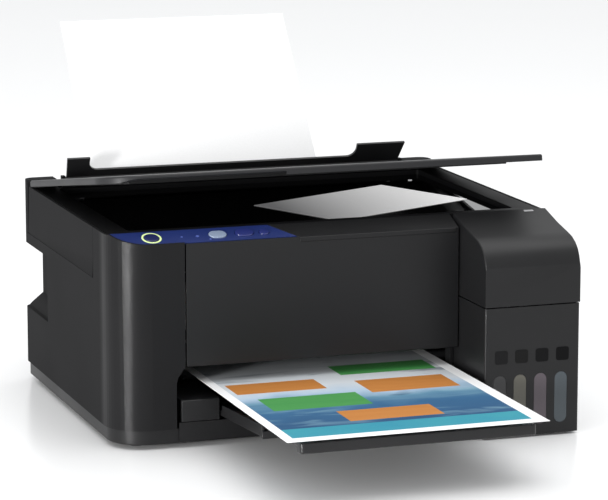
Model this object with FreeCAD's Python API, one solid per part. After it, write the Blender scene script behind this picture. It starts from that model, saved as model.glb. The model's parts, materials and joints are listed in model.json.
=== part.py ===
"""Tank-fed inkjet printer with a flatbed scanner, as an assembly of separate pieces.

Frame: X to the right, Y to the back, Z up, in millimetres.  The pieces are drawn about the
cabinet's middle and moved once, on saving, so that the origin lies on the desk under the
middle of the loaded printer's outline.
"""
import FreeCAD, Part
import math
import os

V = FreeCAD.Vector

# ---- driving dimensions: cabinet ----
WIDTH = 375.0
HALF = WIDTH / 2
REAR = 173.5                     # rear face
FRONT = -118.0                   # front panel and column face
TANK_FRONT = -173.5              # face of the tank unit
TANK_LEFT = 105.0                # left wall of the tank unit
WALL = 2.5                       # moulded wall
FOOT = 4.0                       # height of the rubber feet
SKIRT = 16.0                     # top of the tucked-in bottom pan
SEAM = 131.0                     # seam under the scanner unit
RIM = 172.5                      # top of the scanner unit
COLUMN_R = 32.0                  # plan radius of the front left corner
COLUMN_RIGHT = -128.6            # seam between column and front panel
BED_FRONT = -94.4                # front of the scanner unit
SIDE_SEAM = -57.5                # vertical seam on the sides
FRAME_Y = 26.5                   # from the cabinet's middle to the outline's middle

# ---- control strip ----
STRIP_FRONT_Z = 165.6
STRIP_REAR_Y = -97.0
STRIP_REAR_Z = 173.2
STRIP_ANGLE = math.degrees(math.atan2(STRIP_REAR_Z - STRIP_FRONT_Z, STRIP_REAR_Y - FRONT))
STRIP_DEPTH = math.hypot(STRIP_REAR_Z - STRIP_FRONT_Z, STRIP_REAR_Y - FRONT)
PANEL_RIGHT = -36.0              # right end of the blue control panel

# ---- scanner and lid ----
GLASS_Z = 168.0
LID_AXIS = V(0, 148.0, 171.0)
LID_OPEN = 9.3                   # the lid stands ajar at rest
LID_Z = 173.0
LID_TOP = 178.4
UNIT_AXIS = V(0, 152.0, 162.0)   # pivot of the scanner unit

# ---- paper path ----
PATH_ANGLE = 51.6
PATH_POINT = V(0, 170.5, 178.5)
SHEET_W = 210.0
SHEET_L = 297.0
SHEET_T = 0.3
FEED_X = -23.0                   # middle of the loaded sheet
OUT_X = -7.0                     # middle of the delivered sheet
PAPER_Z = 51.0

# ---- output opening and tray ----
OPEN_LEFT = -136.0
OPEN_TOP = 66.0
SILL = 21.0
TRAY_SLOPE = 4.0
TRAY_POINT = V(0, FRONT, 30.0)

# ---- ink tanks ----
TANK_SEAM = 108.0
TANK_X = (118.1, 135.7, 153.5, 171.4)
CAP_NAMES = ("black", "yellow", "magenta", "cyan")
CAP_AXIS_Y = -126.0
CAP_AXIS_Z = 106.0
COVER_AXIS = V(0, -103.5, 168.6)

# ---- carriage, rollers, shafts ----
CARRIAGE_X = 112.0
CARRIAGE_W = 56.0
BELT_Y = 50.0
PULLEY_X = 172.0
PULLEY_R = 5.0
FEED_POS = (30.0, 43.0)
EXIT_POS = (-45.0, 44.5)
ROLLER_R = 6.0
PICKUP_POS = (87.4, 93.6)
SHAFT_R = 3.0
RUN = 0.08                       # running clearance on a radius


def box(x0, x1, y0, y1, z0, z1):
    """A block between two corners."""
    return Part.makeBox(x1 - x0, y1 - y0, z1 - z0, V(x0, y0, z0))


def prism_x(points, x0, x1):
    """A (y, z) outline pulled along X."""
    ring = [V(x0, y, z) for y, z in points]
    return Part.Face(Part.makePolygon(ring + ring[:1])).extrude(V(x1 - x0, 0, 0))


def prism_z(points, z0, z1):
    """An (x, y) outline pulled upwards."""
    ring = [V(x, y, z0) for x, y in points]
    return Part.Face(Part.makePolygon(ring + ring[:1])).extrude(V(0, 0, z1 - z0))


def rod_x(radius, x0, x1, y, z):
    return Part.makeCylinder(radius, x1 - x0, V(x0, y, z), V(1, 0, 0))


def rod_z(radius, x, y, z0, z1):
    return Part.makeCylinder(radius, z1 - z0, V(x, y, z0))


def join(shapes):
    """One solid from touching pieces."""
    whole = shapes[0].fuse(list(shapes[1:])) if len(shapes) > 1 else shapes[0]
    return whole.removeSplitter()


def rounded(shape, radius, test):
    """The shape with the edges that pass the test rounded."""
    edges = [e for e in shape.Edges if test(e)]
    return shape.makeFillet(radius, edges) if edges else shape


def upright_at(x, y, slack=0.6):
    """A test for the vertical edge at a plan position."""
    def test(edge):
        b = edge.BoundBox
        return b.XLength < 0.01 and b.YLength < 0.01 and abs(b.XMin - x) < slack and abs(b.YMin - y) < slack
    return test


def slot_z(x, y, length, width, z0, z1):
    """A round-ended bar lying along X."""
    r = width / 2
    half = length / 2 - r
    if half <= 0.01:
        return rod_z(r, x, y, z0, z1)
    return join([box(x - half, x + half, y - r, y + r, z0, z1),
                 rod_z(r, x - half, y, z0, z1), rod_z(r, x + half, y, z0, z1)])


def on_strip(shape):
    """From a flat layout, y from the strip's front edge, to the sloping control strip."""
    moved = shape.copy()
    moved.rotate(V(0, 0, 0), V(1, 0, 0), STRIP_ANGLE)
    moved.translate(V(0, FRONT, STRIP_FRONT_Z))
    return moved


def on_path(shape):
    """From a flat layout to the paper's slope: y runs up the sheet, z towards the front."""
    moved = shape.copy()
    moved.rotate(V(0, 0, 0), V(1, 0, 0), PATH_ANGLE)
    moved.translate(PATH_POINT)
    return moved


def on_tray(shape):
    """Tilted like the tray extension, front end up."""
    moved = shape.copy()
    moved.rotate(TRAY_POINT, V(1, 0, 0), -TRAY_SLOPE)
    return moved


def ajar(shape):
    """Turned with the lid to its resting place."""
    moved = shape.copy()
    moved.rotate(LID_AXIS, V(1, 0, 0), -LID_OPEN)
    return moved


def plan(inset, z0, z1):
    """The cabinet's plan, with the round front left corner and the notch for the tanks."""
    left = -HALF + inset
    right = HALF - inset
    front = FRONT + inset
    back = REAR - inset
    notch_y = -97.4 + inset
    notch_x = 104.4 - inset
    body = prism_z([(left, front), (notch_x, front), (notch_x, notch_y), (right, notch_y),
                    (right, back), (left, back)], z0, z1)
    body = rounded(body, COLUMN_R - inset, upright_at(left, front))
    body = rounded(body, 9.0 - inset, upright_at(left, back))
    return rounded(body, 9.0 - inset, upright_at(right, back))


def lower_case():
    """Bottom pan with a turned-up edge, carrying everything."""
    body = plan(2.0, FOOT, SKIRT)
    body = rounded(body, 1.2, lambda e: e.BoundBox.ZLength < 0.01 and abs(e.BoundBox.ZMin - FOOT) < 0.01)
    tank = box(TANK_LEFT + 2.5, HALF - 2.5, TANK_FRONT + 2.5, -90, FOOT, 7.0)
    hollow = plan(4.5, FOOT + 2.5, SKIRT + 1)
    pan = join([body.cut(hollow), tank])
    sill = box(OPEN_LEFT + 2, 104.0, FRONT, FRONT + 3, FOOT + 2, SILL)
    pan = join([pan, sill])
    for x, y in SCREWS:
        pan = pan.cut(rod_z(1.7, x, y, FOOT - 1, FOOT + 4.8))
    return pan


SCREWS = ((-150, -70), (-150, 60), (-60, 140), (60, 140), (150, 60), (150, -60), (145, -140), (172, -130))
FEET = ((-162, -92), (-162, 148), (162, 148), (165, -158), (118, -158), (60, -100))


def rubber_feet():
    return Part.makeCompound([rod_z(7.0, x, y, 0, FOOT) for x, y in FEET])


def case_screws():
    """Pan-head screws up through the bottom pan."""
    parts = []
    for x, y in SCREWS:
        head = rod_z(3.0, x, y, FOOT - 1.6, FOOT)
        shank = rod_z(1.5, x, y, FOOT, FOOT + 4.5)
        cross = join([box(x - 1.6, x + 1.6, y - 0.3, y + 0.3, FOOT - 1.7, FOOT - 1.0),
                      box(x - 0.3, x + 0.3, y - 1.6, y + 1.6, FOOT - 1.7, FOOT - 1.0)])
        parts.append(join([head, shank]).cut(cross))
    return Part.makeCompound(parts)


SCOOP_FRONT = 90.0
SCOOP_LOW = 65.0
SCOOP_HIGH = 122.5
SCOOP_DEEP = 16.5


def scoop(grow):
    """The space of the left hand-hold, open to the side and the back."""
    outer = -HALF - 1.0
    inner = -HALF + SCOOP_DEEP + grow
    profile = [(outer, SCOOP_LOW - grow), (-HALF + 4, SCOOP_LOW - grow), (inner, SCOOP_LOW + 10 - grow),
               (inner, SCOOP_HIGH - 11.5 + grow), (outer, SCOOP_HIGH + grow)]
    ring = [V(x, SCOOP_FRONT - grow, z) for x, z in profile]
    space = Part.Face(Part.makePolygon(ring + ring[:1])).extrude(V(0, REAR + 1 - SCOOP_FRONT + grow, 0))
    low_front = [e for e in space.Edges if e.BoundBox.YLength < 0.01 and e.BoundBox.YMin < SCOOP_FRONT + 0.1
                 and e.BoundBox.XLength < 0.01]
    return space.makeFillet(6.0, low_front) if low_front else space


def mirrored(shape):
    return shape.mirror(V(0, 0, 0), V(1, 0, 0))


def main_housing():
    """Side and rear walls, the front left column and the wall behind the tanks."""
    low = plan(0, SKIRT, SEAM)
    high = plan(0, SEAM, STRIP_REAR_Z).common(box(-HALF, HALF, FRONT, SIDE_SEAM - 0.6, SEAM, STRIP_REAR_Z))
    body = join([low, high]).cut(plan(WALL, SKIRT - 1, STRIP_REAR_Z + 1))
    body = body.cut(box(COLUMN_RIGHT, 120, FRONT - 1, FRONT + 12, SKIRT - 1, 200))
    chamfer = [(COLUMN_RIGHT + 1, 66.5), (-129.7, 65.0), (OPEN_LEFT + 1.2, 57.6), (OPEN_LEFT, 53.0),
               (OPEN_LEFT, SKIRT - 1), (COLUMN_RIGHT + 1, SKIRT - 1)]
    ring = [V(x, FRONT - 1, z) for x, z in chamfer]
    body = body.cut(Part.Face(Part.makePolygon(ring + ring[:1])).extrude(V(0, 12, 0)))
    cheek = box(OPEN_LEFT - 2.2, OPEN_LEFT, FRONT + 2, -100, SKIRT, 53)
    rail = box(COLUMN_RIGHT - 2.5, COLUMN_RIGHT, FRONT + 2, -100, OPEN_TOP, 160)
    slope = prism_x([(FRONT - 2, STRIP_FRONT_Z - 3.6), (FRONT - 2, 190), (STRIP_REAR_Y + 0.6, 190),
                     (STRIP_REAR_Y + 0.6, STRIP_REAR_Z - 3.6)], -HALF - 1, 104.4)
    ridge = prism_x([(FRONT - 2, STRIP_FRONT_Z), (FRONT - 2, 190), (STRIP_REAR_Y, 190),
                     (STRIP_REAR_Y, STRIP_REAR_Z)], -HALF - 1, 104.4)
    inner_plan = plan(1.3, 100, 200)
    body = join([body, cheek, rail]).cut(slope.common(inner_plan)).cut(ridge)
    body = body.cut(box(-HALF - 1, HALF + 1, STRIP_REAR_Y, REAR + 1, RIM, 200))
    wall_top = box(104.4 - WALL, HALF + 1, -99, -94, 166.5, 200)
    body = body.cut(wall_top)
    body = body.cut(box(95, 104.5, FRONT - 1, -97.3, OPEN_TOP, 200))
    for x in TANK_X:
        body = body.cut(Part.makeCylinder(2.0, 6, V(x, -99, 104.0), V(0, 1, 0)))
    side = [(-105.6, 165.6), (-105.6, 170.5), (-102.2, 170.5), (-101.2, 168.6), (-101.2, 166.3), (-96.5, 164.2),
            (-96.5, 161.2)]
    ears = [prism_x(side, x, x + 3) for x in (109.0, 180.5)]
    bores = [rod_x(1.5 + RUN, x - 1, x + 4, COVER_AXIS.y, COVER_AXIS.z) for x in (109.0, 180.5)]
    ears = [e.cut(b) for e, b in zip(ears, bores)]
    body = join([body] + ears)
    for side in (False, True):
        outside = mirrored(scoop(WALL)) if side else scoop(WALL)
        inside = mirrored(scoop(0)) if side else scoop(0)
        lining = outside.common(plan(0.0, SKIRT, SEAM))
        body = join([body, lining]).cut(inside)
    body = body.cut(box(-175, -145, REAR - 6, REAR + 1, 24, 50))
    body = body.cut(box(38, 52, REAR - 6, REAR + 1, 28, 42))
    return body


def rear_housing():
    """Fixed top at the back: the cheeks, the feeder's mouth and the guard's pivots."""
    y0 = 157.5
    whole = plan(0, SEAM + 0.3, 173.6).common(box(-HALF, HALF, y0, REAR, SEAM, 180))
    inner = plan(WALL, SEAM, 171.1).common(box(-HALF, HALF, y0 + WALL, REAR, SEAM - 1, 171.1))
    shell = whole.cut(inner)
    shell = shell.cut(box(-137, 95, y0 - 1, REAR - WALL, SEAM - 1, 180))
    shell = shell.cut(box(-137, 95, y0, REAR + 1, 164.5, 180))
    shell = shell.cut(box(FEED_X - 64, FEED_X + 64, y0, REAR + 1, 156.5, 180))
    caps = plan(0, 173.0, 177.0).common(box(-HALF, HALF, 157.9, REAR, 173.0, 177.0))
    caps = caps.cut(box(-161.0, 161.0, 150, REAR + 1, 170, 180))
    caps = join([caps.Solids[0].fuse(shell), caps.Solids[1]])
    shell = rounded(caps, 2.5, lambda e: e.BoundBox.YLength < 0.01 and e.BoundBox.ZLength < 0.01
                    and e.BoundBox.ZMin > 176.9 and e.BoundBox.YMin < 158)
    posts = [box(x, x + 3, 157.8, 163.2, 173.0, 179.2) for x in (-156.4, 155.4)]
    posts = [p.cut(rod_x(1.5 + RUN, -170, 170, GUARD_AXIS.y, GUARD_AXIS.z)) for p in posts]
    arms = []
    for s in (-1, 1):
        x0, x1 = sorted((s * 176.0, s * 179.0))
        arm = box(x0, x1, 148.0, y0 + WALL, 157.5, 166.6)
        arms.append(arm.cut(rod_x(2.5 + RUN, x0 - 1, x1 + 1, UNIT_AXIS.y, UNIT_AXIS.z)))
    return join([shell] + posts + arms)


GUARD_AXIS = V(0, 160.5, 176.6)
GUARD_TOP = V(0, 150.5, 195.4)


def feeder_guard():
    """Flap with two ears that stands over the paper slot."""
    height = math.hypot(GUARD_TOP.y - GUARD_AXIS.y, GUARD_TOP.z - GUARD_AXIS.z)
    lean = math.degrees(math.atan2(GUARD_AXIS.y - GUARD_TOP.y, GUARD_TOP.z - GUARD_AXIS.z))
    valley = height * 0.40
    ring = [(-152, 0), (154, 0), (158.3, height), (113, height), (113, valley), (-133, valley), (-133, height),
            (-153.4, height)]
    face = Part.Face(Part.makePolygon([V(x, 0, z) for x, z in ring] + [V(ring[0][0], 0, ring[0][1])]))
    flap = face.extrude(V(0, 2.2, 0))
    flap.translate(V(0, -1.1, 0))
    corners = [e for e in flap.Edges if e.BoundBox.XLength < 0.01 and e.BoundBox.ZLength < 0.01
               and abs(e.BoundBox.ZMin - valley) < 0.1]
    flap = flap.makeFillet(8.0, corners)
    barrel = rod_x(2.2, -152, 154, 0, 0)
    pins = [rod_x(1.5, -156.2, -152, 0, 0), rod_x(1.5, 154, 158.2, 0, 0)]
    guard = join([flap, barrel] + pins)
    guard.rotate(V(0, 0, 0), V(1, 0, 0), lean)
    guard.translate(GUARD_AXIS)
    return guard


def front_panel():
    """Front wall over the output opening, with the ledge along its top."""
    plate = box(-127.4, 103.6, FRONT, FRONT + 3, OPEN_TOP, STRIP_FRONT_Z)
    plate = rounded(plate, 1.2, lambda e: e.BoundBox.XLength > 200 and e.BoundBox.ZMin < OPEN_TOP + 0.1
                    and e.BoundBox.YMin < FRONT + 0.1)
    tab = box(-127.4, 103.6, FRONT + 3, FRONT + 16, OPEN_TOP, OPEN_TOP + 2.5)
    skin = on_strip(strip_right(0.0, -1.5, 0.0))
    ledge = box(-32.5, 101, FRONT - 0.8, FRONT + 3, STRIP_FRONT_Z - 4.0, STRIP_FRONT_Z)
    ledge = rounded(ledge, 0.7, lambda e: e.BoundBox.XLength > 100 and e.BoundBox.YMin < FRONT)
    carrier = on_strip(box(-127.4, 103.6, 1.5, STRIP_DEPTH, -3.5, -1.5))
    for x, y, hole in button_holes():
        carrier = carrier.cut(on_strip(hole))
    seat = prism_z([(-130, 1.5), (-34.6, 1.5), (-53.3, STRIP_DEPTH + 0.1), (-130, STRIP_DEPTH + 0.1)], -1.5, 6)
    return join([plate, tab, carrier, skin, ledge]).cut(on_strip(seat))


def strip_right(gap, z0, z1):
    """The strip right of the control panel, in the flat layout."""
    ring = [(-33.0 + gap, 0.0), (103.6, 0.0), (103.6, STRIP_DEPTH), (-53.0 + gap, STRIP_DEPTH)]
    return prism_z(ring, z0, z1)


BUTTONS = {"power_button": (-152.6, 11.9, 11.8, 11.8), "mono_copy_button": (-98.2, 11.4, 14.5, 10.5),
           "colour_copy_button": (-76.0, 11.6, 15.0, 10.5), "stop_button": (-59.7, 10.5, 8.0, 8.0)}


def button_holes():
    """Plan place and cutter of each button, in the flat layout."""
    holes = []
    for x, y, length, width in BUTTONS.values():
        holes.append((x, y, slot_z(x, y, length + 0.7, width + 0.7, -6, 3)))
    return holes


def control_panel():
    """Blue panel in the sloping strip, with its round left end and slanted right end."""
    flat = plan(1.6, -1.5, 0.0)
    flat.translate(V(0, -FRONT, 0))
    ring = [(-HALF, 0.3), (-33.6, 0.3), (-53.6, STRIP_DEPTH - 0.2), (-HALF, STRIP_DEPTH - 0.2)]
    skin = flat.common(prism_z(ring, -1.5, 0.0))
    for x, y, hole in button_holes():
        skin = skin.cut(hole)
    skin = skin.cut(ring_light(0.15))
    for x, y, r in LIGHTS:
        skin = skin.cut(rod_z(r + 0.1, x, y, -2, 1))
    return on_strip(skin)


LIGHTS = ((-115.0, 10.9, 1.3), (-105.7, 5.2, 0.9), (-128.0, 11.0, 0.9))


def ring_light(grow):
    x, y, length, width = BUTTONS["power_button"]
    return rod_z(8.0 + grow, x, y, -1.5, 0.2).cut(rod_z(6.6 - grow, x, y, -2, 1))


def power_ring_light():
    """Light guide round the power button."""
    return on_strip(ring_light(0.0))


def indicator_lights():
    """Small lamp windows beside the buttons."""
    return Part.makeCompound([on_strip(rod_z(r, x, y, -1.5, 0.1)) for x, y, r in LIGHTS])


def button(name):
    """A keycap with a flange under the panel."""
    x, y, length, width = BUTTONS[name]
    cap = slot_z(x, y, length, width, -3.2, 0.8)
    cap = rounded(cap, 0.5, lambda e: e.BoundBox.ZLength < 0.01 and abs(e.BoundBox.ZMin - 0.8) < 0.01)
    flange = slot_z(x, y, length + 2.4, width + 2.4, -6.2, -4.2)
    stem = slot_z(x, y, length, width, -4.2, -3.2)
    return on_strip(join([cap, stem, flange]))


def scanner_base():
    """Tub of the scanner unit, with slanted back to leave the paper path free."""
    b = SEAM + 0.3
    side = [(SIDE_SEAM + 2.1, b), (150.0, b), (156.5, b + 0.6), (151.5, RIM), (SIDE_SEAM, RIM), (SIDE_SEAM, 147.5),
            (SIDE_SEAM + 1.0, 138.5)]
    sides = [prism_x(side, -HALF, -HALF + WALL), prism_x(side, HALF - WALL, HALF)]
    outer = [(SIDE_SEAM, b), (118, b), (149.5, 168), (BED_FRONT, 168), (BED_FRONT, 150), (SIDE_SEAM, 150)]
    inner = [(SIDE_SEAM + WALL, b + WALL), (116.8, b + WALL), (146.4, 169), (BED_FRONT + WALL, 169),
             (BED_FRONT + WALL, 150 + WALL), (SIDE_SEAM + WALL, 150 + WALL)]
    tub = prism_x(outer, -HALF + WALL, HALF - WALL)
    tub = tub.cut(prism_x(inner, -HALF + 2 * WALL, HALF - 2 * WALL))
    trim = [box(s * HALF - 4.4, s * HALF + 4.4, BED_FRONT - 1, SIDE_SEAM, 140, 175) for s in (-1, 1)]
    tub = tub.cut(trim[0]).cut(trim[1])
    unit = join([tub] + sides)
    for s in (-1, 1):
        x0, x1 = sorted((s * 140.0, s * 164.0))
        unit = unit.cut(box(x0, x1, 141.5, 153, 159, 176))
        x0, x1 = sorted((s * 175.5, s * 185.0))
        unit = unit.cut(box(x0, x1, 145.5, 158, 156.5, 167.4))
    rod = rod_x(3.0, -184, 184, ROD_Y, ROD_Z)
    return unit.cut(rod)


ROD_Y = 25.0
ROD_Z = 144.0
BED = (-165.0, 165.0, -83.0, 133.0)


def scanner_frame():
    """Bezel round the glass, with the lid's hinge brackets."""
    ring = box(-184.2, 184.2, BED_FRONT, 151.3, GLASS_Z, RIM)
    ring = rounded(ring, 4.0, upright_at(-184.2, BED_FRONT))
    hole = box(BED[0], BED[1], BED[2], BED[3], GLASS_Z - 1, RIM + 1)
    hole = rounded(hole, 3.0, lambda e: e.BoundBox.ZLength > 1)
    ring = ring.cut(hole)
    ring = rounded(ring, 1.0, lambda e: e.BoundBox.ZLength < 0.01 and e.BoundBox.ZMin > RIM - 0.1
                   and BED[0] - 1 < e.BoundBox.XMin and e.BoundBox.XMax < BED[1] + 1 and e.Length > 50)
    parts = [ring]
    for s in (-1, 1):
        x0, x1 = sorted((s * 140.0, s * 164.0))
        parts[0] = parts[0].cut(box(x0, x1, 141.5, 153, 159, 176))
        for a, c in ((140.0, 143.6), (160.4, 164.0)):
            e0, e1 = sorted((s * a, s * c))
            ear = box(e0, e1, 141.5, 151.3, 166.0, 174.4)
            ear = rounded(ear, 3.0, lambda e: e.BoundBox.XLength > 3 and e.BoundBox.ZMin > 174)
            parts.append(ear.cut(rod_x(2.0, e0 - 1, e1 + 1, LID_AXIS.y, LID_AXIS.z)))
    return join(parts)


def hinge_pins():
    """Two lid pins and the scanner unit's two pivot pins."""
    pins = []
    for s in (-1, 1):
        x0, x1 = sorted((s * 140.0, s * 164.0))
        pins.append(rod_x(2.0, x0, x1, LID_AXIS.y, LID_AXIS.z))
        x0, x1 = sorted((s * 175.8, s * (HALF - WALL)))
        pins.append(rod_x(2.5, x0, x1, UNIT_AXIS.y, UNIT_AXIS.z))
    return Part.makeCompound(pins)


def scanner_glass():
    """Scan window under the bezel."""
    return box(BED[0] - 6, BED[1] + 6, BED[2] - 6, BED[3] + 6, GLASS_Z - 3, GLASS_Z)


def scan_guide_rod():
    return rod_x(3.0, -182.5, 182.5, ROD_Y, ROD_Z)


def scan_carriage():
    """Contact sensor bar on its saddle."""
    bar = box(-160, -142, -82, 126, 154, 163)
    saddle = box(-160, -142, 12, 38, 137, 154)
    whole = join([bar, saddle])
    return whole.cut(rod_x(3.0 + RUN, -170, -130, ROD_Y, ROD_Z))


def lid_blank(z0, z1, inset):
    """The lid's outline, wide corner at the front left."""
    front = -99.5 + inset
    plate = box(-HALF + 0.3 + inset, HALF - 0.3 - inset, front, 147.0 - inset, z0, z1)
    plate = rounded(plate, COLUMN_R - inset, upright_at(-HALF + 0.3 + inset, front))
    return rounded(plate, 3.0 - inset / 2, upright_at(HALF - 0.3 - inset, front))


def lid_cover():
    """Document cover: a shallow shell with two hinge arms at the back."""
    shell = lid_blank(LID_Z, LID_TOP, 0.0)
    shell = shell.makeFillet(1.6, [e for e in shell.Edges if e.BoundBox.ZMin > LID_TOP - 0.01])
    shell = shell.cut(lid_blank(LID_Z - 1, LID_TOP - 2.2, 2.4))
    grip = prism_x([(-103, LID_Z - 1), (-92.0, LID_Z - 1), (-99.0, LID_TOP - 2.6), (-103, LID_TOP - 2.6)],
                   -172, PANEL_RIGHT)
    shell = shell.cut(grip)
    for x in (-164.5, 139.5):
        shell = shell.cut(box(x, x + 25, 140.0, 148.0, LID_Z - 1, LID_TOP - 2.2))
    arms = []
    for s in (-1, 1):
        x0, x1 = sorted((s * 144.4, s * 159.6))
        arm = box(x0, x1, 143.6, 152.0, 167.0, LID_TOP - 2.0)
        arm = rounded(arm, 3.5, lambda e: e.BoundBox.XLength > 3 and e.BoundBox.YMin > 151)
        arms.append(arm.cut(rod_x(2.0 + RUN, x0 - 1, x1 + 1, LID_AXIS.y, LID_AXIS.z)))
    return ajar(join([shell] + arms))


def lid_mat():
    """Foam-backed sheet that presses the original on the glass."""
    return ajar(box(BED[0] + 3, BED[1] - 3, BED[2] + 3, BED[3] - 3, GLASS_Z + 3.9, LID_TOP - 2.2))


def tank_profile(inset):
    """Side outline of the tank unit above its seam."""
    i = inset
    return [(TANK_FRONT + i, TANK_SEAM + 1), (TANK_FRONT + i, 141), (-171.4 + i * 0.9, 147 - i * 0.3),
            (-168.3 + i * 0.8, 152.2 - i * 0.5), (-163.4 + i * 0.6, 156.6 - i * 0.7),
            (-156.5 + i * 0.5, 160.2 - i * 0.9), (-148.0 + i * 0.3, 162.4 - i),
            (-126.6 + i * 0.1, 167.1 - i), (-101.5, 174.2 - i), (-101.5, TANK_SEAM + 1)]


def tank_cover():
    """Hinged upper cover of the tank unit, with studs for its pivots."""
    outer = prism_x(tank_profile(0), TANK_LEFT, HALF)
    outer = rounded(outer, 1.5, lambda e: e.BoundBox.XLength < 0.01 and e.BoundBox.ZMin > 140
                    and e.BoundBox.YMin > TANK_FRONT - 1 and e.BoundBox.YMax < -101.4)
    inner = prism_x([(y, z - (2 if z < 110 else 0)) for y, z in tank_profile(2.2)] [:-2]
                    + [(-90, 175.3), (-90, TANK_SEAM - 1)], TANK_LEFT + 2.2, HALF - 2.2)
    cover = outer.cut(inner)
    studs = [rod_x(1.5, TANK_LEFT + 1, 111.6, COVER_AXIS.y, COVER_AXIS.z),
             rod_x(1.5, 181.0, HALF - 1, COVER_AXIS.y, COVER_AXIS.z)]
    return join([cover] + studs)


def tank_lower_cover():
    """Front shell of the tank unit, with four window slots."""
    body = box(TANK_LEFT, HALF, TANK_FRONT, -98.4, 2.0, TANK_SEAM)
    body = rounded(body, 2.5, upright_at(HALF, TANK_FRONT))
    body = rounded(body, 2.0, upright_at(TANK_LEFT, TANK_FRONT))
    inner = box(TANK_LEFT + 2.2, HALF - 2.2, TANK_FRONT + 2.2, -90, 1.0, TANK_SEAM + 1)
    body = body.cut(inner)
    for x in TANK_X:
        body = body.cut(window(x, 0.15, -180, -168))
    return body


def window(x, grow, y0, y1):
    """A round-ended upright slot."""
    r = 5.4 + grow
    low, high = 16.0, 47.1
    slab = box(x - r, x + r, y0, y1, low, high)
    ends = [Part.makeCylinder(r, y1 - y0, V(x, y0, z), V(0, 1, 0)) for z in (low, high)]
    return join([slab] + ends)


def tank_windows():
    return Part.makeCompound([window(x, 0.0, TANK_FRONT + 0.2, TANK_FRONT + 2.0) for x in TANK_X])


def colour_labels():
    """Plain square colour marks over the windows."""
    marks = []
    for x in TANK_X:
        mark = box(x - 4.4, x + 6.6, TANK_FRONT - 0.3, TANK_FRONT, 62, 73)
        marks.append(rounded(mark, 2.0, lambda e: e.BoundBox.YLength > 0.2))
    return Part.makeCompound(marks)


def ink_tanks():
    """Four translucent tanks with filler necks and a post for each cap."""
    tanks = []
    for x in TANK_X:
        body = box(x - 8.0, x + 8.0, -170.0, -112.0, 9.0, 98.0)
        body = rounded(body, 2.0, lambda e: e.BoundBox.ZLength > 50)
        cavity = box(x - 6.6, x + 6.6, -168.6, -113.4, 10.4, 96.6)
        neck = rod_z(5.0, x, -138.0, 98.0, 103.0)
        mouth = rod_z(3.6, x, -138.0, 96.0, 104.0)
        post = box(x - 1.4, x + 1.4, CAP_AXIS_Y - 2.4, CAP_AXIS_Y + 2.4, 98.0, CAP_AXIS_Z + 2.4)
        post = post.cut(rod_x(1.2 + RUN, x - 2, x + 2, CAP_AXIS_Y, CAP_AXIS_Z))
        tanks.append(join([body.cut(cavity), neck.fuse(post)]).cut(mouth))
    return Part.makeCompound(tanks)


def tank_cap(x):
    """Hinged filler cap with its plug and a fork round the post."""
    disc = rod_z(7.0, x, -138.0, 103.3, 108.5)
    disc = rounded(disc, 1.2, lambda e: e.BoundBox.ZMin > 108.4)
    plug = rod_z(3.0, x, -138.0, 101.6, 103.3)
    forks = [box(x + a, x + a + 1.8, -134.0, CAP_AXIS_Y + 2.0, 104.0, 108.0) for a in (-3.7, 1.9)]
    pin = rod_x(1.2, x - 2.5, x + 2.5, CAP_AXIS_Y, CAP_AXIS_Z)
    return join([disc, plug, pin] + forks)


def main_frame():
    """Sheet-metal beam that carries the rail, on two side brackets."""
    beam = box(-180, 180, 36, 37.6, 62, 100)
    flange = box(-180, 180, 36, 64, 98.4, 100)
    brackets = [box(-181.6, -180, -58, 64, 7, 100), box(180, 181.6, -58, 64, 7, 100)]
    rail = box(-178, 178, 34.6, 36, 80, 94)
    frame = join([beam, flange, rail] + brackets)
    frame = frame.cut(rod_z(3.0, PULLEY_X, BELT_Y, 95, 105)).cut(rod_z(2.0 + RUN, -PULLEY_X, BELT_Y, 95, 105))
    for y, z in (FEED_POS, EXIT_POS):
        frame = frame.cut(rod_x(SHAFT_R + RUN, -190, 190, y, z))
    for y, z, r in ((FEED_POS[0], PINCH_Z, 1.5), (EXIT_POS[0], STAR_Z, 1.0)):
        frame = frame.cut(rod_x(r + RUN, -190, 190, y, z))
    return frame


PINCH_R = 4.0
PINCH_Z = FEED_POS[1] + ROLLER_R + 0.6 + PINCH_R
STAR_R = 4.0
STAR_Z = PAPER_Z + 0.6 + STAR_R
ROLL_SPANS = [(x, x + 24.0) for x in (-110, -72, -34, 4, 42)]


def print_carriage():
    """Carriage with its head, riding on the rail and clipped to the belt."""
    x0, x1 = CARRIAGE_X, CARRIAGE_X + CARRIAGE_W
    body = box(x0, x1, -36, 22, 60, 98)
    body = rounded(body, 3.0, lambda e: e.BoundBox.ZLength > 20)
    head = box(x0 + 10, x1 - 10, -30, 14, 54, 60)
    block = box(x0 + 13, x1 - 13, 22, 34, 84, 112)
    arm = box(x0 + 18, x1 - 18, 34, 47, 109, 112)
    return join([body, head, block, arm])


def carriage_belt():
    """Toothed belt loop round the two pulleys."""
    r = PULLEY_R + 0.3
    outer = slot_z(0, BELT_Y, 2 * PULLEY_X + 2 * (r + 1.2), 2 * (r + 1.2), 102, 107)
    inner = slot_z(0, BELT_Y, 2 * PULLEY_X + 2 * r, 2 * r, 101, 108)
    return outer.cut(inner)


def pulley(x, bore_down):
    """Flanged pulley with its spindle."""
    body = rod_z(PULLEY_R, x, BELT_Y, 101.4, 107.6)
    rims = [rod_z(PULLEY_R + 2.2, x, BELT_Y, 100.6, 101.4), rod_z(PULLEY_R + 2.2, x, BELT_Y, 107.6, 108.4)]
    stem = rod_z(2.0, x, BELT_Y, bore_down, 100.6)
    flat = box(x + 1.2, x + 3, BELT_Y - 3, BELT_Y + 3, 108.0, 108.6)
    return join([body, stem] + rims).cut(flat)


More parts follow.
